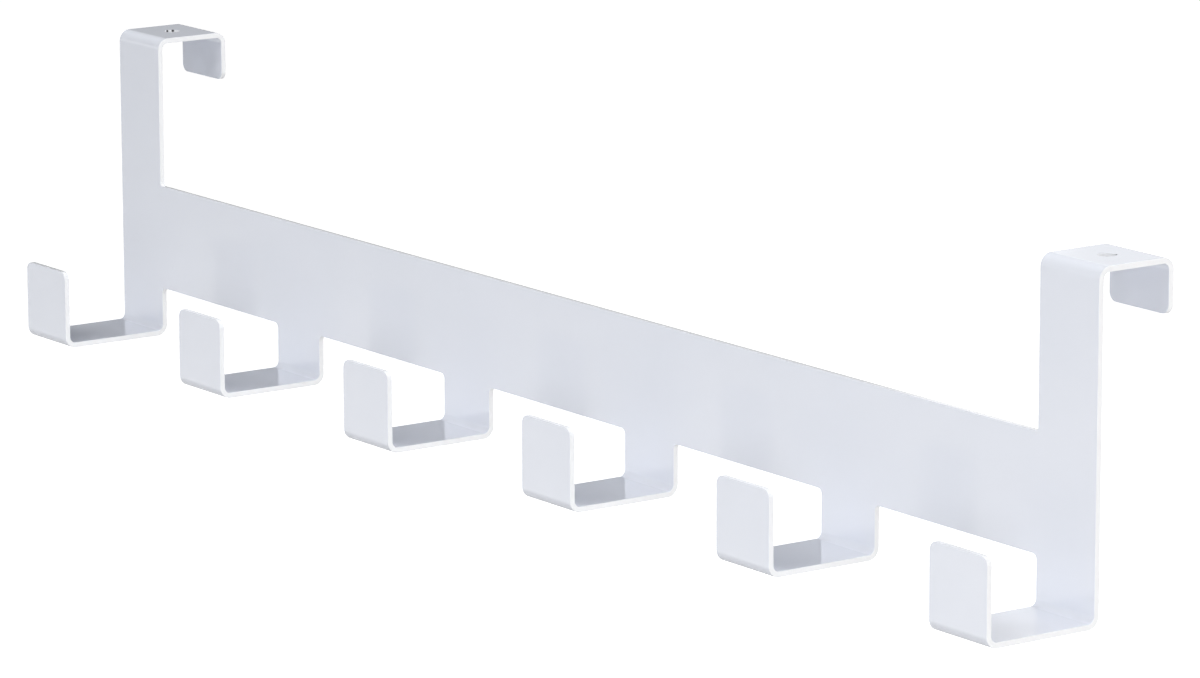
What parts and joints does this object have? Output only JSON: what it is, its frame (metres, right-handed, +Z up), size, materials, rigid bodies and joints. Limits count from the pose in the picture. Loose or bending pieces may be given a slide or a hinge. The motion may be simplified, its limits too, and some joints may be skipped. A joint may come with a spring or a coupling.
{
  "type": "over-the-door hook rack",
  "caption": "Flat steel rail with square J hooks below it and a folded bracket at each end that goes over the top of a door.",
  "frame": {"origin": "centre of the rail's back face, which lies on the face of the door", "axes": "+X along the rail, +Y square to the door and pointing at it, +Z up, so that the hooks point along -Y"},
  "size_m": [0.45, 0.0568, 0.089],
  "materials": {
    "white_powder_coat": "glossy white powder coat on folded steel sheet"
  },
  "bodies": {
    "root": {"rail_plate": "white_powder_coat", "left_door_bracket": "white_powder_coat", "right_door_bracket": "white_powder_coat", "hook_1": "white_powder_coat", "hook_2": "white_powder_coat", "hook_3": "white_powder_coat", "hook_4": "white_powder_coat", "hook_5": "white_powder_coat", "hook_6": "white_powder_coat"}
  },
  "joints": []
}
